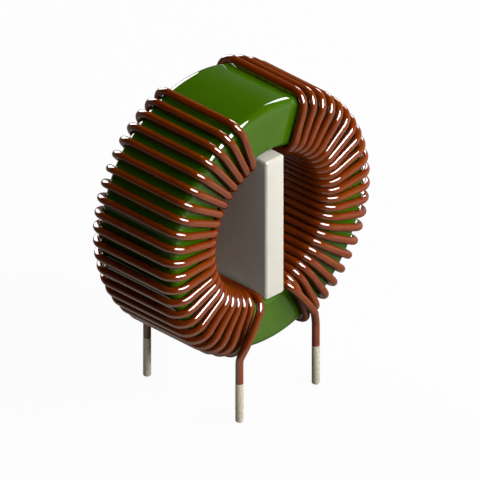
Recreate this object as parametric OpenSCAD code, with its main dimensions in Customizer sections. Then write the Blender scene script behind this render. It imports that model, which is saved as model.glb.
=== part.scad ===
// Vertical toroidal choke: a coated ring core with two mirrored single-layer windings,
// a divider plate in its bore and four solder-coated leads that it stands on.
// The leads end at z = 0, the ring's axis lies along Y and its centre is on the Z axis.

/* [Ring core] */
// Outer diameter of the coated ring
ring_od = 36; // [30:0.1:44]
// Inner diameter of the coated ring
ring_id = 22; // [18:0.1:27]
// Width of the coated ring along its axis
ring_h = 14.5; // [10:0.1:20]
// Rounding of the coated ring's edges
ring_edge = 1.2; // [0.8:0.05:1.8]
// Thickness of the coating over the ferrite
coat_t = 0.4; // [0.2:0.05:0.6]

/* [Windings] */
// Diameter of the bare copper
bare_d = 1; // [0.7:0.01:1.2]
// Thickness of the enamel on the copper
enamel_t = 0.04; // [0.02:0.005:0.06]
// Least space between two turns in the bore, where they lie closest
turn_gap = 0.1; // [0.05:0.01:0.5]
// Space that the stiff wire keeps from the ring's flat sides
lift = 0.2; // [0.15:0.01:0.4]
// Space between the wire's bends and the ring's rounded edges
corner_gap = 0.05; // [0.02:0.01:0.1]
// Space between the plate and the first turn
start_gap = 1.12; // [0.3:0.01:1.5]
// Space between the plate and the finishing end
end_gap = 0.28; // [0.15:0.01:1]

/* [Leads] */
// Height of the windings' underside above the lead tips
stand_h = 7.42; // [6:0.01:12]
// Spacing of the left and right leads
lead_dx = 14.4; // [12:0.1:18]
// How far the leads stand out past the wire on the ring's faces
lead_step = 0.71; // [0.3:0.01:3]
// Clearance between a lead and the turns that it crosses
cross_gap = 0.2; // [0.1:0.05:0.5]
// Length of the solder coat on each lead
solder_len = 5.9; // [3:0.1:7.2]
// Thickness of the solder around the copper
solder_t = 0.05; // [0.03:0.01:0.1]
// Thickness of the solder under the copper's end
solder_cap = 0.35; // [0.2:0.05:0.5]

/* [Divider plate] */
// Thickness of the plate
plate_t = 3.5; // [2:0.1:4.2]
// How far the plate stands out past each face of the ring
plate_proud = 1.05; // [0:0.05:2]
// Clearance between the plate's corners and the bore
plate_gap = 0.25; // [0.1:0.05:0.5]
// Rounding of the plate's edges
plate_edge = 0.3; // [0.1:0.05:0.5]

/* [Hidden] */

LEFT = -1;
RIGHT = 1;
FRONT = -1;
BACK = 1;

wire_sides = 8;
bend_corners = 4;
knee_corners = 2;
knee_limit = 45;
solder_fit = 0.01;
solder_edge = 0.25;
enamel_step = 0.01;
knee_rise = 1.5;
ease_rise = 3.5;
ease_in = 0.8;
hook_room = 0.2;
exit_ease = 0.45;
spare = 1;

// Centreline of the wire on the outside, in the bore and on the two faces of the ring
wire_d = bare_d + 2 * enamel_t;
wire_off = lift + wire_d / 2;
outer_r = ring_od / 2 + wire_off;
inner_r = ring_id / 2 - wire_off;
face_y = ring_h / 2 + wire_off;
// The bend that just clears the ring's rounded edge, and the hook that has room for two of them
bend_r = ring_edge + wire_off + (lift - corner_gap) / (sqrt(2) - 1);
hook_drop = bend_r + hook_room;

// Places in the bore: as many turns as the arc between the two ends holds
beside_plate = (plate_t + wire_d) / 2;
first_place = asin((beside_plate + start_gap) / inner_r);
last_place = asin((beside_plate + end_gap) / inner_r);
winding_arc = 180 - first_place - last_place;
turns = floor(winding_arc / (2 * asin((wire_d + turn_gap) / (2 * inner_r))));
pitch = winding_arc / turns;

// Where the leads run and stand
cross_y = face_y + wire_d + cross_gap;
lead_x = lead_dx / 2;
lead_y = face_y + lead_step;
under_z = stand_h + wire_d / 2;
centre_z = under_z + outer_r;
enamel_end = solder_len + enamel_step;

// Small vector helpers
function unit(v) = v / norm(v);
function across(v, t) = unit(v - t * (v * t));

// A point at angle a from the +X axis, seen from the front, at radius r and depth y
function polar(side, a, r, y) = [side * r * cos(a), y, centre_z + r * sin(a)];
function turn_angle(k) = 90 - first_place - pitch * k;

// One turn: up the front face, back over the outside, down the back face to the next place
// in the bore
function turn(side, k) = [
  polar(side, turn_angle(k), inner_r, -face_y),
  polar(side, turn_angle(k), outer_r, -face_y),
  polar(side, turn_angle(k), outer_r, face_y),
  polar(side, turn_angle(k + 1), inner_r, face_y)];

// The starting end rises behind the turns and hooks over into the top of the bore
function back_lead(side) = [
  [side * lead_x, lead_y, enamel_end],
  [side * lead_x, lead_y, under_z + knee_rise],
  [side * lead_x, cross_y, under_z + ease_rise],
  [side * lead_x, cross_y, centre_z + inner_r * cos(first_place) - hook_drop],
  polar(side, turn_angle(0), inner_r, cross_y)];

// The finishing end leaves the bore at the front and crosses the middle of the last turn to its pin
function front_lead(side) = [
  polar(side, turn_angle(turns), inner_r, exit_ease - cross_y),
  polar(side, turn_angle(turns - 1), (inner_r + outer_r) / 2, -cross_y),
  [side * (lead_x - ease_in), -cross_y, under_z + ease_rise],
  [side * lead_x, -lead_y, under_z + knee_rise],
  [side * lead_x, -lead_y, enamel_end]];

function winding_route(side) = concat(
  back_lead(side), [for (k = [0:turns - 1]) each turn(side, k)], front_lead(side));

// Replaces each corner of a route by an arc, drawn as n mitred corners that touch it from outside
function arc_corner(before, at, after) =
  let (u = unit(at - before), v = unit(after - at), turned = acos(u * v))
  let (w = across(v, u), start = at - u * bend_r * tan(turned / 2))
  let (n = turned > knee_limit ? bend_corners : knee_corners, half = turned / n / 2)
  [for (k = [0:n - 1]) let (a = half * (2 * k + 1))
    start + w * bend_r + bend_r / cos(half) * (u * sin(a) - w * cos(a))];
function rounded(p) = [
  for (i = [0:len(p) - 1])
    each i == 0 || i == len(p) - 1 ? [p[i]] : arc_corner(p[i - 1], p[i], p[i + 1])];

// Bare copper stands out of the enamel at both ends of the route
function bare_end(at) = [
  [at - [0, 0, enamel_step], bare_d / 2],
  [[at[0], at[1], solder_cap], bare_d / 2]];
function stripped(p) =
  let (start = bare_end(p[0]), end = bare_end(p[len(p) - 1]))
  concat([start[1], start[0]], [for (at = p) [at, wire_d / 2]], end);

// Direction of the wire before each ring, and the normal of the mitre that each ring lies in
function leg(p, i) = unit(p[i] - p[i - 1]);
function incoming(p, i) = leg(p, max(i, 1));
function mitre(p, i) = i == 0 || i == len(p) - 1 ? incoming(p, i) : unit(leg(p, i) + leg(p, i + 1));
// A normal that is mirrored from leg to leg, so that the wire never twists
function carried(p) = [
  for (i = 0, n = across([1, 0, 0], leg(p, 1)); i < len(p); n = n - 2 * (n * mitre(p, i)) * mitre(p, i), i = i + 1)
    n];

// A round wire swept along the points p with the radii r, its rings lying in the mitres
module swept_wire(p, r) {
  rings = len(p);
  n = carried(p);
  points = [
    for (i = [0:rings - 1])
      let (u = incoming(p, i), m = mitre(p, i), side = cross(u, n[i]))
        for (s = [0:wire_sides - 1])
          let (a = 360 * s / wire_sides, out = n[i] * cos(a) + side * sin(a))
            p[i] + r[i] * (out - u * (out * m) / (u * m))];
  skin = [
    for (i = [0:rings - 2], s = [0:wire_sides - 1])
      let (a = i * wire_sides + s, b = i * wire_sides + (s + 1) % wire_sides)
        [a, a + wire_sides, b + wire_sides, b]];
  start_cap = [for (s = [0:wire_sides - 1]) s];
  end_cap = [for (s = [0:wire_sides - 1]) rings * wire_sides - 1 - s];
  polyhedron(points = points, faces = concat([start_cap], skin, [end_cap]), convexity = 12);
}

// A rectangle between two corners with rounded corners of its own
module soft_rect(low, high, r) {
  translate([low[0] + r, low[1]]) square([high[0] - low[0] - 2 * r, high[1] - low[1]]);
  translate([low[0], low[1] + r]) square([high[0] - low[0], high[1] - low[1] - 2 * r]);
  for (x = [low[0] + r, high[0] - r], y = [low[1] + r, high[1] - r])
    translate([x, y]) circle(r, $fn = 48);
}

// The ring's solid, drawn in by an even depth all round
module ring_solid(depth) {
  translate([0, 0, centre_z]) rotate([90, 0, 0]) rotate_extrude($fn = 180)
    soft_rect(
      [ring_id / 2 + depth, depth - ring_h / 2], [ring_od / 2 - depth, ring_h / 2 - depth],
      ring_edge - depth);
}

module ferrite_ring() {
  color("dimgray") ring_solid(coat_t);
}

module epoxy_coating() {
  color("darkgreen") difference() {
    ring_solid(0);
    ring_solid(coat_t);
  }
}

// The plate's corners reach to the bore, and all its edges are rounded
module divider_plate() {
  half_t = plate_t / 2;
  half_y = ring_h / 2 + plate_proud;
  half_z = sqrt(pow(ring_id / 2, 2) - pow(half_t, 2)) - plate_gap;
  color("antiquewhite") translate([0, 0, centre_z]) intersection() {
    linear_extrude(2 * (half_z + spare), center = true)
      soft_rect([-half_t, -half_y], [half_t, half_y], plate_edge);
    rotate([90, 0, 0]) linear_extrude(2 * (half_y + spare), center = true)
      soft_rect([-half_t, -half_z], [half_t, half_z], plate_edge);
    rotate([90, 0, 90]) linear_extrude(2 * (half_t + spare), center = true)
      soft_rect([-half_y, -half_z], [half_y, half_z], plate_edge);
  }
}

module winding(side) {
  rings = stripped(rounded(winding_route(side)));
  color("sienna") swept_wire([for (ring = rings) ring[0]], [for (ring = rings) ring[1]]);
}

// A thimble of solder over the stripped end of a lead
module lead_solder(side, face) {
  r = bare_d / 2 + solder_t;
  color("silver") translate([side * lead_x, face * lead_y, 0]) rotate_extrude($fn = 48) difference() {
    union() {
      square([r - solder_edge, solder_len]);
      translate([0, solder_edge]) square([r, solder_len - solder_edge]);
      translate([r - solder_edge, solder_edge]) circle(solder_edge, $fn = 48);
    }
    translate([0, solder_cap]) square([bare_d / 2 + solder_fit, solder_len]);
  }
}

ferrite_ring();
epoxy_coating();
divider_plate();
winding(LEFT);  // left_winding
winding(RIGHT);  // right_winding
lead_solder(LEFT, FRONT);  // left_front_lead_solder
lead_solder(LEFT, BACK);  // left_back_lead_solder
lead_solder(RIGHT, FRONT);  // right_front_lead_solder
lead_solder(RIGHT, BACK);  // right_back_lead_solder
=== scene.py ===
"""Upright ring-core choke, finished for the studio.

A coated ring stands on four tinned leads. It carries two mirrored windings of enamelled wire with
a divider plate between them. Every length is in metres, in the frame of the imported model: the leads
end at z = 0, the ring's axis lies along Y and its front faces -Y.
"""

import logging
import math
from dataclasses import dataclass
from enum import IntEnum

import bmesh
import bpy
from mathutils import Matrix, Vector


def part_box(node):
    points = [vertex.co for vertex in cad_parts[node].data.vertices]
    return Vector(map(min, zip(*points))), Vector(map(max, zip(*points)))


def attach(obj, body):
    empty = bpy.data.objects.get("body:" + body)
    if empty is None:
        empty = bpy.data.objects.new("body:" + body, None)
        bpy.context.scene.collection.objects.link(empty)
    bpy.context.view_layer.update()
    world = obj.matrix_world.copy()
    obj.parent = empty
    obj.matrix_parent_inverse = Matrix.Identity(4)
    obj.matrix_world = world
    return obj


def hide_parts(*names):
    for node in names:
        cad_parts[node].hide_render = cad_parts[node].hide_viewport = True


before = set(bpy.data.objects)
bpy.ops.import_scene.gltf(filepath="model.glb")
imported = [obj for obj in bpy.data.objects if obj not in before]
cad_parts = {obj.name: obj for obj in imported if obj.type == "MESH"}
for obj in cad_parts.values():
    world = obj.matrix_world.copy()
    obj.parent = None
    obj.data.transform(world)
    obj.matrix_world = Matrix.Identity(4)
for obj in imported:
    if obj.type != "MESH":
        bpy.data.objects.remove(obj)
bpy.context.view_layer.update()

log = logging.getLogger("choke")

MM = 0.001
BODY = "root"
# The wire's attribute that holds each point's place on the wire as if it were drawn straight
STRAIGHTENED = "straightened_wire"
# Points of two stretches of wire that are nearer than this share of its radius are one point
SEAM_SHARE = 0.001
# Heights that differ by less than this are the same
SAME = 1e-9
# Edges that turn by more than this stay crisp
SHARP_ABOVE = math.radians(40.0)

Colour = tuple[float, float, float]
Range = tuple[float, float]
Stretch = tuple[float, float, float]
Socket = bpy.types.NodeSocket
Value = float | bpy.types.NodeSocket

WHITE: Colour = (1.0, 1.0, 1.0)
UNIT: Range = (0.0, 1.0)
# The bands in which most, and nearly all, of a noise's values lie
MOST: Range = (0.35, 0.65)
NEARLY_ALL: Range = (0.3, 0.7)


class Side(IntEnum):
    """The two halves of the part, as seen from the front."""

    LEFT = -1
    RIGHT = 1


class Face(IntEnum):
    """The two flat faces of the ring."""

    FRONT = -1
    BACK = 1


# ---------------------------------------------------------------- materials


@dataclass(frozen=True)
class Cloud:
    """A cloudy noise: its clouds to a millimetre, and the detail inside them."""

    per_mm: float
    detail: float = 2.0


@dataclass(frozen=True)
class Relief:
    """How a height map stands up: the height of 1 in metres, and the share that is used."""

    depth: float
    strength: float


class Bench:
    """Lays out the nodes of one material, or of the world."""

    def __init__(self, owner: bpy.types.Material | bpy.types.World) -> None:
        """Clear the nodes.

        Args:
            owner: the material or the world that they belong to.
        """
        owner.use_nodes = True
        self.owner = owner
        self.tree = owner.node_tree
        self.tree.nodes.clear()

    @classmethod
    def for_material(cls, name: str) -> "Bench":
        """Start an empty material."""
        return cls(bpy.data.materials.new(name))

    def add(
            self, kind: str, inputs: dict[str | int, object] | None = None,
            **settings: object) -> bpy.types.Node:
        """Add one node.

        Args:
            kind: the node's type.
            inputs: what each of its sockets holds, a value or the socket that feeds it.
            settings: the node's own options.

        Returns:
            The new node.
        """
        node = self.tree.nodes.new(kind)
        for option, value in settings.items():
            setattr(node, option, value)
        for socket, value in (inputs or {}).items():
            if isinstance(value, bpy.types.NodeSocket):
                self.tree.links.new(value, node.inputs[socket])
            else:
                node.inputs[socket].default_value = value
        return node

    def in_mm(self, stretch: Stretch = (1.0, 1.0, 1.0), attribute: str = "") -> Socket:
        """Give the surface's own coordinates in millimetres.

        Args:
            stretch: how much each axis is multiplied, so that a pattern runs along another.
            attribute: the vector attribute to read in place of Object coordinates.

        Returns:
            The socket that holds the coordinates.
        """
        if attribute:
            source = self.add("ShaderNodeAttribute", attribute_name=attribute).outputs["Vector"]
        else:
            source = self.add("ShaderNodeTexCoord").outputs["Object"]
        factors = [axis / MM for axis in stretch]
        scaled = self.add("ShaderNodeVectorMath", {0: source, 1: factors}, operation="MULTIPLY")
        return scaled.outputs[0]

    def noise(self, place: Socket, cloud: Cloud) -> Socket:
        """Cloudy noise from 0 to 1."""
        inputs = {"Vector": place, "Scale": cloud.per_mm, "Detail": cloud.detail}
        return self.add("ShaderNodeTexNoise", inputs).outputs[0]

    def spread(self, value: Socket, source: Range, target: Range = UNIT) -> Socket:
        """Map a value from one range to another and clamp it there."""
        inputs = {"Value": value, 1: source[0], 2: source[1], 3: target[0], 4: target[1]}
        return self.add("ShaderNodeMapRange", inputs).outputs[0]

    def blend(self, share: Socket, low: Colour, high: Colour) -> Socket:
        """Mix two colours by a share from 0 to 1."""
        inputs = {0: share, 6: (*low, 1.0), 7: (*high, 1.0)}
        return self.add("ShaderNodeMix", inputs, data_type="RGBA").outputs[2]

    def mix(self, share: Socket, low: Value, high: Value) -> Socket:
        """Mix two values by a share from 0 to 1."""
        return self.add("ShaderNodeMix", {0: share, 2: low, 3: high}).outputs[0]

    def times_plus(self, one: Value, other: Value, more: Value = 0.0) -> Socket:
        """Multiply two values and add a third."""
        inputs = {0: one, 1: other, 2: more}
        return self.add("ShaderNodeMath", inputs, operation="MULTIPLY_ADD").outputs[0]

    def measure(self, place: Socket, operation: str, other: Vector | None = None) -> Socket:
        """Turn a place into one number, by a vector operation with another place or a way."""
        inputs = {0: place} if other is None else {0: place, 1: other}
        return self.add("ShaderNodeVectorMath", inputs, operation=operation).outputs["Value"]

    def bump(self, height: Socket, relief: Relief, under: Socket | None = None) -> Socket:
        """Raise a height map.

        Args:
            height: the map, from 0 to 1.
            relief: how it stands up.
            under: the normal of a bump below this one.

        Returns:
            The socket that holds the new normal.
        """
        inputs = {"Height": height, "Distance": relief.depth, "Strength": relief.strength}
        if under is not None:
            inputs["Normal"] = under
        return self.add("ShaderNodeBump", inputs).outputs[0]

    def surface(self, **inputs: object) -> bpy.types.Material:
        """End the material in a Principled shader.

        Args:
            inputs: the shader's sockets by name, with _ for each space.

        Returns:
            The finished material.
        """
        named = {name.replace("_", " "): value for name, value in inputs.items()}
        shader = self.add("ShaderNodeBsdfPrincipled", named)
        self.add("ShaderNodeOutputMaterial", {"Surface": shader.outputs[0]})
        return self.owner


@dataclass(frozen=True)
class EnamelledCopper:
    """Clear red-brown enamel baked on drawn copper."""

    lit: Colour = (0.265, 0.043, 0.001)
    deep: Colour = (0.215, 0.030, 0.001)
    roughness: Range = (0.045, 0.065)
    ior: float = 1.58
    drift: Cloud = Cloud(0.12, 3.0)
    lines: Cloud = Cloud(1.0, 3.0)
    lines_stretch: Stretch = (6.0, 6.0, 0.15)
    lines_relief: Relief = Relief(0.003 * MM, 0.5)

    def material(self) -> bpy.types.Material:
        """Faint drawing lines run along the wire, and the enamel's depth drifts slowly.

        Returns:
            The material.
        """
        bench = Bench.for_material("enamelled_copper")
        drift = bench.noise(bench.in_mm(attribute=STRAIGHTENED), self.drift)
        lines = bench.noise(bench.in_mm(self.lines_stretch, STRAIGHTENED), self.lines)
        return bench.surface(
            Base_Color=bench.blend(bench.spread(drift, MOST), self.deep, self.lit),
            Roughness=bench.spread(lines, NEARLY_ALL, self.roughness),
            Normal=bench.bump(lines, self.lines_relief), IOR=self.ior)


@dataclass(frozen=True)
class EpoxyCoat:
    """Green epoxy powder, baked to a gloss with a slight orange peel."""

    lit: Colour = (0.059, 0.158, 0.001)
    deep: Colour = (0.053, 0.145, 0.001)
    roughness: Range = (0.035, 0.065)
    ior: float = 1.48
    mottle: Cloud = Cloud(0.25, 4.0)
    peel: Cloud = Cloud(0.8, 1.0)
    peel_relief: Relief = Relief(0.012 * MM, 0.3)
    grain: Cloud = Cloud(4.0)

    def material(self) -> bpy.types.Material:
        """Slow mottling of the colour, a soft peel in the surface and a fine grain in its gloss.

        Returns:
            The material.
        """
        bench = Bench.for_material("green_epoxy")
        place = bench.in_mm()
        mottle = bench.noise(place, self.mottle)
        peel = bench.noise(place, self.peel)
        grain = bench.noise(place, self.grain)
        return bench.surface(
            Base_Color=bench.blend(bench.spread(mottle, MOST), self.deep, self.lit),
            Roughness=bench.spread(grain, NEARLY_ALL, self.roughness),
            Normal=bench.bump(peel, self.peel_relief), IOR=self.ior)


@dataclass(frozen=True)
class CreamPlastic:
    """Cream plastic under a clear glossy skin, with a very fine fleck."""

    lit: Colour = (0.79, 0.76, 0.67)
    deep: Colour = (0.75, 0.72, 0.63)
    roughness: Range = (0.36, 0.48)
    ior: float = 1.5
    skin_roughness: float = 0.03
    cloud: Cloud = Cloud(0.3, 3.0)
    cloud_band: Range = (0.3, 0.62)
    cloud_relief: Relief = Relief(0.02 * MM, 0.5)
    fleck: Cloud = Cloud(5.0)
    fleck_relief: Relief = Relief(0.004 * MM, 0.5)

    def material(self) -> bpy.types.Material:
        """A slow cloud in the colour, and a low ripple with a fine fleck in the surface.

        The gloss is the skin's alone, so the plastic under it has none of its own.

        Returns:
            The material.
        """
        bench = Bench.for_material("cream_plastic")
        place = bench.in_mm()
        cloud = bench.noise(place, self.cloud)
        fleck = bench.noise(place, self.fleck)
        ripple = bench.bump(cloud, self.cloud_relief)
        return bench.surface(
            Base_Color=bench.blend(bench.spread(cloud, self.cloud_band), self.deep, self.lit),
            Roughness=bench.spread(fleck, NEARLY_ALL, self.roughness),
            Normal=bench.bump(fleck, self.fleck_relief, ripple), IOR=self.ior,
            Specular_IOR_Level=0.0, Coat_Weight=1.0, Coat_Roughness=self.skin_roughness)


@dataclass(frozen=True)
class DippedSolder:
    """Tin solder left by a dip bath, bright with soft runs and a dull bloom."""

    bright: Colour = (0.78, 0.72, 0.56)
    dull: Colour = (0.74, 0.68, 0.53)
    dull_to_bright: Range = (0.38, 0.22)
    metal: float = 0.15
    ior: float = 1.5
    bloom: Cloud = Cloud(0.8)
    runs: Cloud = Cloud(1.6)
    runs_stretch: Stretch = (1.0, 1.0, 0.25)
    runs_relief: Relief = Relief(0.02 * MM, 0.6)
    grain: Cloud = Cloud(5.0)
    grain_relief: Relief = Relief(0.002 * MM, 0.4)

    def material(self) -> bpy.types.Material:
        """Runs along the lead, and bloom where the solder cooled slowly.

        Returns:
            The material.
        """
        bench = Bench.for_material("solder")
        place = bench.in_mm()
        runs = bench.noise(bench.in_mm(self.runs_stretch), self.runs)
        bloom = bench.noise(place, self.bloom)
        grain = bench.noise(place, self.grain)
        flow = bench.bump(runs, self.runs_relief)
        return bench.surface(
            Base_Color=bench.blend(bench.spread(bloom, MOST), self.dull, self.bright),
            Roughness=bench.spread(bloom, MOST, self.dull_to_bright),
            Normal=bench.bump(grain, self.grain_relief, flow), Metallic=self.metal, IOR=self.ior)


@dataclass(frozen=True)
class SinteredFerrite:
    """Dark grey ceramic, pressed and fired."""

    lit: Colour = (0.055, 0.055, 0.060)
    deep: Colour = (0.030, 0.030, 0.033)
    pore_to_crystal: Range = (0.75, 0.6)
    grain: Cloud = Cloud(6.0, 3.0)
    grain_relief: Relief = Relief(0.01 * MM, 0.7)

    def material(self) -> bpy.types.Material:
        """A grain of fine crystals and small pores.

        Returns:
            The material.
        """
        bench = Bench.for_material("ferrite")
        grain = bench.noise(bench.in_mm(), self.grain)
        return bench.surface(
            Base_Color=bench.blend(bench.spread(grain, NEARLY_ALL), self.deep, self.lit),
            Roughness=bench.spread(grain, NEARLY_ALL, self.pore_to_crystal),
            Normal=bench.bump(grain, self.grain_relief))


# ---------------------------------------------------------------- meshes


def finish_piece(
        bm: bmesh.types.BMesh, name: str, material: bpy.types.Material,
        replaced: str) -> bpy.types.Object:
    """Turn a bmesh into a piece of the part.

    Args:
        bm: the finished bmesh, which is freed.
        name: the piece's name.
        material: its one material.
        replaced: the CAD node that the piece stands for.

    Returns:
        The piece, riding on the part's body.
    """
    for face in bm.faces:
        face.smooth = True
    for edge in bm.edges:
        edge.smooth = edge.calc_face_angle(0.0) < SHARP_ABOVE
    mesh = bpy.data.meshes.new(name)
    bm.to_mesh(mesh)
    bm.free()
    mesh.materials.append(material)
    piece = bpy.data.objects.new(name, mesh)
    bpy.context.scene.collection.objects.link(piece)
    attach(piece, BODY)
    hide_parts(replaced)
    log.info("%s: %d faces, stands for %s", name, len(mesh.polygons), replaced)
    return piece


def edges_in(found: list) -> list[bmesh.types.BMEdge]:
    """The edges among an operator's results."""
    return [item for item in found if isinstance(item, bmesh.types.BMEdge)]


def verts_in(found: list) -> list[bmesh.types.BMVert]:
    """The vertices among an operator's results."""
    return [item for item in found if isinstance(item, bmesh.types.BMVert)]


@dataclass
class RingCore:
    """The ferrite ring in its green epoxy coat."""

    outer: float
    bore: float
    height: float
    centre: Vector
    edge: float = 1.2 * MM
    edge_steps: int = 8
    around: int = 256

    @classmethod
    def from_frame(cls) -> "RingCore":
        """Read the ring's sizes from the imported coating.

        Returns:
            The ring.
        """
        low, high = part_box("epoxy_coating")
        centre = (low + high) / 2
        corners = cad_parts["epoxy_coating"].data.vertices
        bore = min(math.hypot(v.co.x - centre.x, v.co.z - centre.z) for v in corners)
        return cls(outer=(high.x - low.x) / 2, bore=bore, height=high.y - low.y, centre=centre)

    def build(self, coat: EpoxyCoat, core: SinteredFerrite) -> None:
        """Spin the coat from one rounded section, and finish the core inside it.

        Args:
            coat: the finish of the coat.
            core: the finish of the ferrite.
        """
        bm = bmesh.new()
        middle = (self.outer + self.bore) / 2
        reach = Matrix.Diagonal((self.outer - self.bore, self.height, 1.0, 1.0))
        place = Matrix.Translation(self.centre + Vector((middle, 0.0, 0.0))) @ reach
        bmesh.ops.create_grid(bm, x_segments=1, y_segments=1, size=0.5, matrix=place)
        bmesh.ops.bevel(
            bm, geom=bm.verts[:], offset=self.edge, offset_type="OFFSET",
            segments=self.edge_steps, profile=0.5, affect="VERTICES", material=-1)
        bmesh.ops.delete(bm, geom=bm.faces[:], context="FACES_ONLY")
        bmesh.ops.spin(
            bm, geom=bm.edges[:] + bm.verts[:], cent=self.centre, axis=(0.0, 1.0, 0.0),
            angle=math.tau, steps=self.around, use_merge=True)
        bmesh.ops.recalc_face_normals(bm, faces=bm.faces[:])
        finish_piece(bm, "coated_ring", coat.material(), "epoxy_coating")
        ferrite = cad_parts["ferrite_ring"].data.materials
        ferrite.clear()
        ferrite.append(core.material())
        log.info("ferrite_ring: keeps its shape, with a finish of its own")


@dataclass
class DividerPlate:
    """The cream plate that stands in the bore and keeps the windings apart."""

    low: Vector
    high: Vector
    edge: float = 0.42 * MM
    edge_steps: int = 6

    @classmethod
    def from_frame(cls) -> "DividerPlate":
        """Read the plate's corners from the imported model."""
        return cls(*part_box("divider_plate"))

    def build(self, finish: CreamPlastic) -> None:
        """Round the edges of one block.

        Args:
            finish: the finish of the plate.
        """
        bm = bmesh.new()
        size = self.high - self.low
        place = Matrix.Translation((self.low + self.high) / 2) @ Matrix.Diagonal((*size, 1.0))
        bmesh.ops.create_cube(bm, size=1.0, matrix=place)
        bmesh.ops.bevel(
            bm, geom=bm.edges[:], offset=self.edge, offset_type="OFFSET",
            segments=self.edge_steps, profile=0.5, affect="EDGES", material=-1)
        finish_piece(bm, "divider", finish.material(), "divider_plate")


@dataclass
class RoundWire:
    """A round wire bent over a former: straight legs joined by arcs of one radius."""

    radius: float
    bend_radius: float
    sides: int = 32
    step_turn: float = math.radians(9.0)
    least_steps: int = 3

    def begin(self, at: Vector, towards: Vector) -> None:
        """Cut the wire's first end.

        Args:
            at: where it starts.
            towards: a point further along.
        """
        self.bm = bmesh.new()
        self.stretches: list[bpy.types.Mesh] = []
        self.layer = self.bm.verts.layers.float_vector.new(STRAIGHTENED)
        self.way = (towards - at).normalized()
        self.drawn = 0.0
        place = Matrix.Translation(at) @ self.way.to_track_quat("Z", "X").to_matrix().to_4x4()
        rim = bmesh.ops.create_circle(
            self.bm, cap_ends=True, cap_tris=False, radius=self.radius, segments=self.sides,
            matrix=place)["verts"]
        for vert in rim:
            out = place.inverted() @ vert.co
            vert[self.layer] = (out.x, out.y, 0.0)
        self.rim = self.bm.edges[:]

    def _advance(self, found: list, length: float) -> None:
        """Take the ring that an operator has just made as the wire's end.

        Args:
            found: the operator's results.
            length: how far on the ring is, along the wire.
        """
        self.rim = edges_in(found)
        self.drawn += length
        for vert in verts_in(found):
            vert[self.layer].z = self.drawn

    def straight(self, length: float) -> None:
        """Draw the wire on along its own direction.

        Args:
            length: how far.
        """
        found = bmesh.ops.extrude_edge_only(self.bm, edges=self.rim)["geom"]
        bmesh.ops.translate(self.bm, vec=self.way * length, verts=verts_in(found))
        self._advance(found, length)

    def swell(self, share: float) -> None:
        """Step the wire's thickness, as where its enamel starts.

        Args:
            share: the new thickness as a share of the old.
        """
        found = bmesh.ops.extrude_edge_only(self.bm, edges=self.rim)["geom"]
        last = verts_in(found)
        middle = sum((vert.co for vert in last), Vector()) / len(last)
        bmesh.ops.scale(
            self.bm, vec=(share,) * 3, verts=last, space=Matrix.Translation(-middle))
        self._advance(found, 0.0)

    def bend(self, at: Vector, new_way: Vector) -> None:
        """Bend the wire about its former.

        Args:
            at: the centre of the arc.
            new_way: the wire's direction after it.
        """
        axis = self.way.cross(new_way).normalized()
        turned = self.way.angle(new_way)
        steps = max(self.least_steps, math.ceil(turned / self.step_turn))
        for _ in range(steps):
            found = bmesh.ops.spin(
                self.bm, geom=self.rim, cent=at, axis=axis, angle=turned / steps,
                steps=1)["geom_last"]
            self._advance(found, self.bend_radius * turned / steps)
        self.way = new_way

    def set_down(self) -> None:
        """Lay the finished stretch aside and go on from its last ring.

        An operator takes longer on a longer wire, so this keeps every step quick.
        """
        stretch = bpy.data.meshes.new("stretch")
        self.bm.to_mesh(stretch)
        self.stretches.append(stretch)
        held = {vert for edge in self.rim for vert in edge.verts}
        done = [vert for vert in self.bm.verts if vert not in held]
        bmesh.ops.delete(self.bm, geom=done, context="VERTS")

    def follow(self, route: list[Vector]) -> None:
        """Run along a route, with a bend at each of its corners.

        Args:
            route: the corners, from the wire's end on.
        """
        spent = 0.0
        for before, corner, after in zip(route, route[1:], route[2:]):
            way, new_way = (corner - before).normalized(), (after - corner).normalized()
            setback = self.bend_radius * math.tan(way.angle(new_way) / 2)
            self.straight((corner - before).length - spent - setback)
            inward = (new_way - way * way.dot(new_way)).normalized()
            self.bend(corner - way * setback + inward * self.bend_radius, new_way)
            self.set_down()
            spent = setback
        self.straight((route[-1] - route[-2]).length - spent)

    def end(self) -> bmesh.types.BMesh:
        """Close the wire's last end and join its stretches.

        Returns:
            The finished wire.
        """
        bmesh.ops.contextual_create(self.bm, geom=self.rim)
        for stretch in self.stretches:
            self.bm.from_mesh(stretch)
            bpy.data.meshes.remove(stretch)
        bmesh.ops.remove_doubles(
            self.bm, verts=self.bm.verts[:], dist=self.radius * SEAM_SHARE)
        bmesh.ops.recalc_face_normals(self.bm, faces=self.bm.faces[:])
        return self.bm


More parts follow.
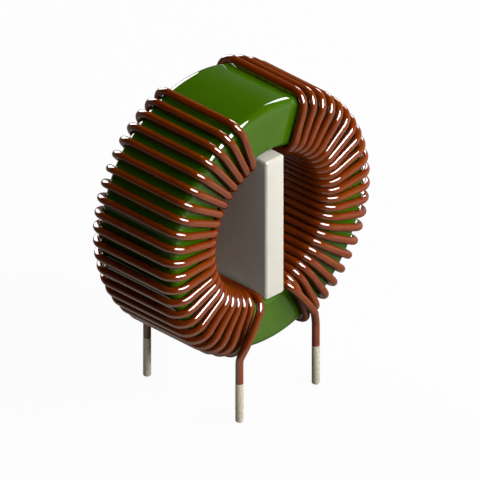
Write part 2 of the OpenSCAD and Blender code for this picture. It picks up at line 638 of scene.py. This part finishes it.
@dataclass
class Winding:
    """One half's single-layer winding, with the two leads that it ends in."""

    side: Side
    core: RingCore
    plate: DividerPlate
    lead_x: float
    lead_y: float
    tinned: float
    bare: float = 1.0 * MM
    enamel: float = 0.04 * MM
    turn_gap: float = 0.1 * MM
    lift: float = 0.2 * MM
    corner_gap: float = 0.05 * MM
    start_gap: float = 1.12 * MM
    end_gap: float = 0.28 * MM
    cross_gap: float = 0.2 * MM
    knee_rise: float = 1.5 * MM
    ease_rise: float = 3.5 * MM
    ease_in: float = 0.8 * MM
    hook_room: float = 0.2 * MM
    exit_ease: float = 0.45 * MM
    solder_cap: float = 0.35 * MM

    @classmethod
    def from_frame(cls, side: Side, core: RingCore, plate: DividerPlate) -> "Winding":
        """Read the winding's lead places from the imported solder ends.

        Args:
            side: the half that it is on.
            core: the ring under it.
            plate: the plate beside it.

        Returns:
            The winding.
        """
        low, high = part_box(f"{side.name.lower()}_back_lead_solder")
        middle = (low + high) / 2
        return cls(side, core, plate, abs(middle.x), abs(middle.y), high.z)

    def __post_init__(self) -> None:
        """Work out where the wire's middle runs, and how many turns the bore has room for."""
        self.wire = self.bare + 2 * self.enamel
        off = self.lift + self.wire / 2
        self.outer_r = self.core.outer + off
        self.inner_r = self.core.bore - off
        self.face_y = self.core.height / 2 + off
        self.cross_y = self.face_y + self.wire + self.cross_gap
        self.bend_r = self.core.edge + off + (self.lift - self.corner_gap) / (math.sqrt(2) - 1)
        beside_plate = self.plate.high.x + self.wire / 2
        self.first = math.asin((beside_plate + self.start_gap) / self.inner_r)
        last = math.asin((beside_plate + self.end_gap) / self.inner_r)
        arc = math.pi - self.first - last
        closest = 2 * math.asin((self.wire + self.turn_gap) / (2 * self.inner_r))
        self.turns = math.floor(arc / closest)
        self.pitch = arc / self.turns

    def place(self, turn: float, radius: float, y: float) -> Vector:
        """A point on the ring.

        Args:
            turn: the turn's number, counted from the top.
            radius: the distance from the ring's axis.
            y: the distance from the ring's middle plane.

        Returns:
            The point.
        """
        angle = math.pi / 2 - self.first - self.pitch * turn
        across, up = radius * math.cos(angle), radius * math.sin(angle)
        return Vector((self.side * across, y, self.core.centre.z + up))

    def turn(self, number: int) -> list[Vector]:
        """The corners of one turn, from the bore round the outside and back to the bore.

        Args:
            number: the turn's number, counted from the top.

        Returns:
            Its four corners.
        """
        return [
            self.place(number, self.inner_r, -self.face_y),
            self.place(number, self.outer_r, -self.face_y),
            self.place(number, self.outer_r, self.face_y),
            self.place(number + 1, self.inner_r, self.face_y)]

    def lead(self, face: Face, z: float, x_in: float = 0.0, y: float = 0.0) -> Vector:
        """A point on a lead.

        Args:
            face: the ring's face that the lead runs down.
            z: its height.
            x_in: how far it is drawn in from the lead's own place.
            y: its distance from the ring's middle plane, or 0 for the lead's own.

        Returns:
            The point.
        """
        return Vector((self.side * (self.lead_x - x_in), face * (y or self.lead_y), z))

    def route(self) -> list[Vector]:
        """The corners of the whole wire.

        Returns:
            The corners, from the back pin to the front pin.
        """
        under = self.core.centre.z - self.outer_r
        hook_drop = self.bend_r + self.hook_room
        hook_z = self.core.centre.z + self.inner_r * math.cos(self.first) - hook_drop
        middle_r = (self.inner_r + self.outer_r) / 2
        start = [
            self.lead(Face.BACK, self.tinned),
            self.lead(Face.BACK, under + self.knee_rise),
            self.lead(Face.BACK, under + self.ease_rise, y=self.cross_y),
            self.lead(Face.BACK, hook_z, y=self.cross_y),
            self.place(0, self.inner_r, self.cross_y)]
        coil = [corner for number in range(self.turns) for corner in self.turn(number)]
        finish = [
            self.place(self.turns, self.inner_r, self.exit_ease - self.cross_y),
            self.place(self.turns - 1, middle_r, -self.cross_y),
            self.lead(Face.FRONT, under + self.ease_rise, self.ease_in, self.cross_y),
            self.lead(Face.FRONT, under + self.knee_rise),
            self.lead(Face.FRONT, self.tinned)]
        return start + coil + finish

    def build(self, finish: bpy.types.Material) -> None:
        """Bend the wire, its stripped ends standing in the solder.

        Args:
            finish: the enamelled wire's material.
        """
        route = self.route()
        tip = Vector((route[0].x, route[0].y, self.solder_cap))
        stripped = (route[0] - tip).length
        wire = RoundWire(self.bare / 2, self.bend_r)
        wire.begin(tip, route[0])
        wire.straight(stripped)
        wire.swell(self.wire / self.bare)
        wire.follow(route)
        wire.swell(self.bare / self.wire)
        wire.straight(stripped)
        half = self.side.name.lower()
        finish_piece(wire.end(), f"{half}_coil", finish, f"{half}_winding")


@dataclass
class TinnedEnd:
    """The solder on one lead's stripped end."""

    node: str
    low: Vector
    high: Vector
    sides: int = 40
    tip_round: float = 0.25 * MM
    tip_steps: int = 6
    feather: float = 0.35 * MM
    thin: float = 0.97

    @classmethod
    def from_frame(cls, side: Side, face: Face) -> "TinnedEnd":
        """Read the end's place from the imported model."""
        node = f"{side.name.lower()}_{face.name.lower()}_lead_solder"
        return cls(node, *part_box(node))

    def build(self, finish: bpy.types.Material) -> None:
        """Draw the end up from its rounded tip, and feather it out at the top.

        Args:
            finish: the solder's material.
        """
        bm = bmesh.new()
        radius = (self.high.x - self.low.x) / 2
        middle = (self.low + self.high) / 2
        foot = Vector((middle.x, middle.y, self.low.z))
        bmesh.ops.create_circle(
            bm, cap_ends=True, cap_tris=False, radius=radius, segments=self.sides,
            matrix=Matrix.Translation(foot))
        rim = bm.edges[:]
        rises = (self.high.z - self.low.z - self.feather, self.feather)
        for rise, share in zip(rises, (1.0, self.thin)):
            found = bmesh.ops.extrude_edge_only(bm, edges=rim)["geom"]
            last = verts_in(found)
            bmesh.ops.translate(bm, vec=(0.0, 0.0, rise), verts=last)
            bmesh.ops.scale(
                bm, vec=(share, share, 1.0), verts=last, space=Matrix.Translation(-foot))
            rim = edges_in(found)
        bmesh.ops.contextual_create(bm, geom=rim)
        corner = [
            edge for edge in bm.edges
            if all(abs(vert.co.z - self.low.z) < SAME for vert in edge.verts)]
        bmesh.ops.bevel(
            bm, geom=corner, offset=self.tip_round, offset_type="OFFSET",
            segments=self.tip_steps, profile=0.5, affect="EDGES", material=-1)
        bmesh.ops.recalc_face_normals(bm, faces=bm.faces[:])
        name = self.node.replace("lead_solder", "tinned_end")
        finish_piece(bm, name, finish, self.node)


# ---------------------------------------------------------------- studio


def direction(azimuth: float, elevation: float) -> Vector:
    """A direction from the part.

    Args:
        azimuth: degrees from the front towards the part's right.
        elevation: degrees above the table.

    Returns:
        The direction, of length one.
    """
    a, e = math.radians(azimuth), math.radians(elevation)
    return Vector((math.sin(a) * math.cos(e), -math.cos(a) * math.cos(e), math.sin(e)))


@dataclass(frozen=True)
class SoftBox:
    """One studio lamp with a flat front.

    Its width and height are as seen from the part at a distance of one. `fill` is the light that
    it gives a matt surface that faces it, `shine` is how bright it stands in a mirror, and a lamp
    has one of the two.
    """

    name: str
    azimuth: float
    elevation: float
    width: float
    height: float
    fill: float = 0.0
    shine: float = 0.0
    shape: str = "RECTANGLE"


@dataclass
class Studio:
    """A white table, soft lamps and a camera that looks down on the part.

    The table and the sky are plain white to the camera. To glossy surfaces the table shows a
    painted pool of light at the left and painted light that grows towards the far right, with a
    painted shade round the part's foot, and the sky has a pale horizon on its bright side. Lengths
    of these are in millimetres. To matt surfaces the table gives a dim light, on the first bounce
    only, with the same painted pool and shade, and the sky a dim, even light.
    """

    view_centre: Vector = Vector((-0.803, -2.419, 22.754)) * MM
    view_width: float = 64.0 * MM
    azimuth: float = -45.0
    elevation: float = 30.0
    stand_off: float = 0.4
    reach: float = 0.6
    table: float = 3.0
    table_colour: Colour = (0.85, 0.85, 0.85)
    table_glow: float = 0.94
    table_fill: float = 0.13
    first_bounce: Range = (1.0, 2.0)
    # The table's painted light, lengths in millimetres: a painted pool of light, painted light that
    # grows towards the far right, a painted shade round the part's foot, and the warm colour of its
    # painted reflection
    pool: Vector = Vector((-30.0, -17.5, 0.0))
    painted_pool_edge: Range = (10.0, 60.0)
    painted_pool_light: Range = (1.2, 0.22)
    far_side: float = 30.0
    far_edge: Range = (15.0, 130.0)
    painted_far_light: float = 0.65
    painted_shade_reach: Range = (6.0, 22.0)
    deepest_painted_shade: float = 0.1
    mirrored_tint: Colour = (1.0, 0.92, 0.78)
    bright_side: float = 45.0
    horizon_sides: Range = (-0.2, 0.9)
    horizon_light: float = 0.75
    horizon_heights: Range = (0.1, 0.6)
    ambient: float = 0.04
    lamps: tuple[SoftBox, ...] = (
        SoftBox("overhead", -4.0, 55.5, 0.80, 0.70, shine=28.0, shape="ELLIPSE"),
        SoftBox("rim", 165.0, 20.0, 0.86, 0.75, shine=9.0, shape="ELLIPSE"),
        SoftBox("side", 115.5, 30.0, 0.35, 0.42, shine=13.0),
        SoftBox("key", 38.0, 26.0, 0.70, 0.40, fill=0.72),
        SoftBox("front", 0.0, 24.0, 0.50, 0.30, fill=0.46),
        SoftBox("right", 100.0, 28.0, 0.50, 0.50, fill=0.15),
        SoftBox("back", 165.0, 38.0, 0.60, 0.50, fill=0.34),
    )

    def camera(self) -> None:
        """A camera without perspective, turned to the front left."""
        back = direction(self.azimuth, self.elevation)
        data = bpy.data.cameras.new("camera")
        data.type = "ORTHO"
        data.ortho_scale = self.view_width
        camera = bpy.data.objects.new("camera", data)
        camera.location = self.view_centre + back * self.stand_off
        camera.rotation_euler = back.to_track_quat("Z", "Y").to_euler()
        bpy.context.scene.collection.objects.link(camera)
        bpy.context.scene.camera = camera

    def lamp(self, box: SoftBox) -> None:
        """Hang one soft box.

        A shining one is seen in glossy surfaces only, and a filling one lights matt ones only.

        Args:
            box: the soft box.
        """
        data = bpy.data.lights.new(box.name, "AREA")
        data.shape = box.shape
        data.size, data.size_y = box.width * self.reach, box.height * self.reach
        diagonal = math.hypot(box.width, box.height) / 2
        facing = box.width * box.height / (1 + diagonal * diagonal) / math.pi
        radiance = box.shine or box.fill / facing
        data.energy = radiance * data.size * data.size_y * math.pi
        lamp = bpy.data.objects.new(box.name, data)
        way = direction(box.azimuth, box.elevation)
        lamp.location = self.view_centre + way * self.reach
        lamp.rotation_euler = way.to_track_quat("Z", "Y").to_euler()
        lamp.visible_glossy = box.shine > 0.0
        lamp.visible_diffuse = box.fill > 0.0
        data.cycles.max_bounces = 1 if box.shine else 0
        bpy.context.scene.collection.objects.link(lamp)

    def table_white(self) -> bpy.types.Material:
        """White to the camera and through clear things, with the part's shadow.

        Returns:
            The table's material.
        """
        bench = Bench.for_material("table_white")
        path = bench.add("ShaderNodeLightPath").outputs
        place = bench.in_mm()
        # Painted light on the table, seen in reflections and given to matt surfaces: a pool of light
        # at the left and more light towards the far right
        beside = bench.measure(place, "DISTANCE", self.pool)
        across = bench.measure(place, "DOT_PRODUCT", direction(self.far_side, 0.0))
        away = bench.measure(place, "LENGTH")
        pool = bench.spread(beside, self.painted_pool_edge, self.painted_pool_light)
        far = bench.spread(across, self.far_edge, (0.0, self.painted_far_light))
        # Painted shade round the part's foot, darkest at the middle
        painted_foot_shade = bench.spread(away, self.painted_shade_reach, (self.deepest_painted_shade, 1.0))
        mirrored = bench.times_plus(bench.times_plus(pool, 1.0, far), painted_foot_shade)
        first = bench.spread(path["Ray Depth"], self.first_bounce, (self.table_fill, 0.0))
        returned = bench.mix(path["Is Diffuse Ray"], 1.0, first)
        through = bench.times_plus(path["Is Transmission Ray"], 1.0, path["Is Camera Ray"])
        strength = bench.mix(through, bench.times_plus(mirrored, returned), 1.0)
        colour = bench.blend(path["Is Glossy Ray"], WHITE, self.mirrored_tint)
        glow = bench.add("ShaderNodeEmission", {"Color": colour, "Strength": strength})
        matt = bench.add("ShaderNodeBsdfDiffuse", {"Color": (*self.table_colour, 1.0)})
        share = bench.spread(path["Is Camera Ray"], UNIT, (1.0, self.table_glow))
        both = bench.add(
            "ShaderNodeMixShader", {0: share, 1: matt.outputs[0], 2: glow.outputs[0]})
        bench.add("ShaderNodeOutputMaterial", {"Surface": both.outputs[0]})
        return bench.owner

    def floor(self) -> None:
        """Lay the table top."""
        bm = bmesh.new()
        bmesh.ops.create_grid(bm, x_segments=1, y_segments=1, size=self.table / 2)
        mesh = bpy.data.meshes.new("table_top")
        bm.to_mesh(mesh)
        bm.free()
        mesh.materials.append(self.table_white())
        floor = bpy.data.objects.new("table_top", mesh)
        bpy.context.scene.collection.objects.link(floor)

    def world(self) -> None:
        """White behind the part, a pale horizon in what it mirrors, and a dim even light."""
        world = bpy.data.worlds.new("studio")
        bench = Bench(world)
        path = bench.add("ShaderNodeLightPath").outputs
        way = bench.add("ShaderNodeTexCoord").outputs["Generated"]
        height = bench.add("ShaderNodeSeparateXYZ", {0: way}).outputs["Z"]
        across = bench.measure(way, "DOT_PRODUCT", direction(self.bright_side, 0.0))
        level = bench.spread(across, self.horizon_sides, (0.0, self.horizon_light))
        low = bench.spread(height, self.horizon_heights, (1.0, 0.0))
        horizon = bench.times_plus(low, level)
        through = bench.times_plus(path["Is Transmission Ray"], 1.0, path["Is Camera Ray"])
        seen = bench.times_plus(path["Is Glossy Ray"], horizon, through)
        strength = bench.times_plus(path["Is Diffuse Ray"], self.ambient, seen)
        sky = bench.add("ShaderNodeBackground", {"Color": (*WHITE, 1.0), "Strength": strength})
        bench.add("ShaderNodeOutputWorld", {"Surface": sky.outputs[0]})
        bpy.context.scene.world = world

    def build(self) -> None:
        """Set up the whole studio."""
        self.camera()
        self.floor()
        self.world()
        for box in self.lamps:
            self.lamp(box)
        bpy.context.scene.view_settings.view_transform = "Standard"


def main() -> None:
    """Build the part's pieces in order, then the studio around them."""
    logging.basicConfig(level=logging.INFO, format="%(name)s: %(message)s")
    core = RingCore.from_frame()
    core.build(EpoxyCoat(), SinteredFerrite())
    plate = DividerPlate.from_frame()
    plate.build(CreamPlastic())
    enamel = EnamelledCopper().material()
    solder = DippedSolder().material()
    for side in Side:
        Winding.from_frame(side, core, plate).build(enamel)
        for face in Face:
            TinnedEnd.from_frame(side, face).build(solder)
    Studio().build()


if __name__ == "__main__":
    main()
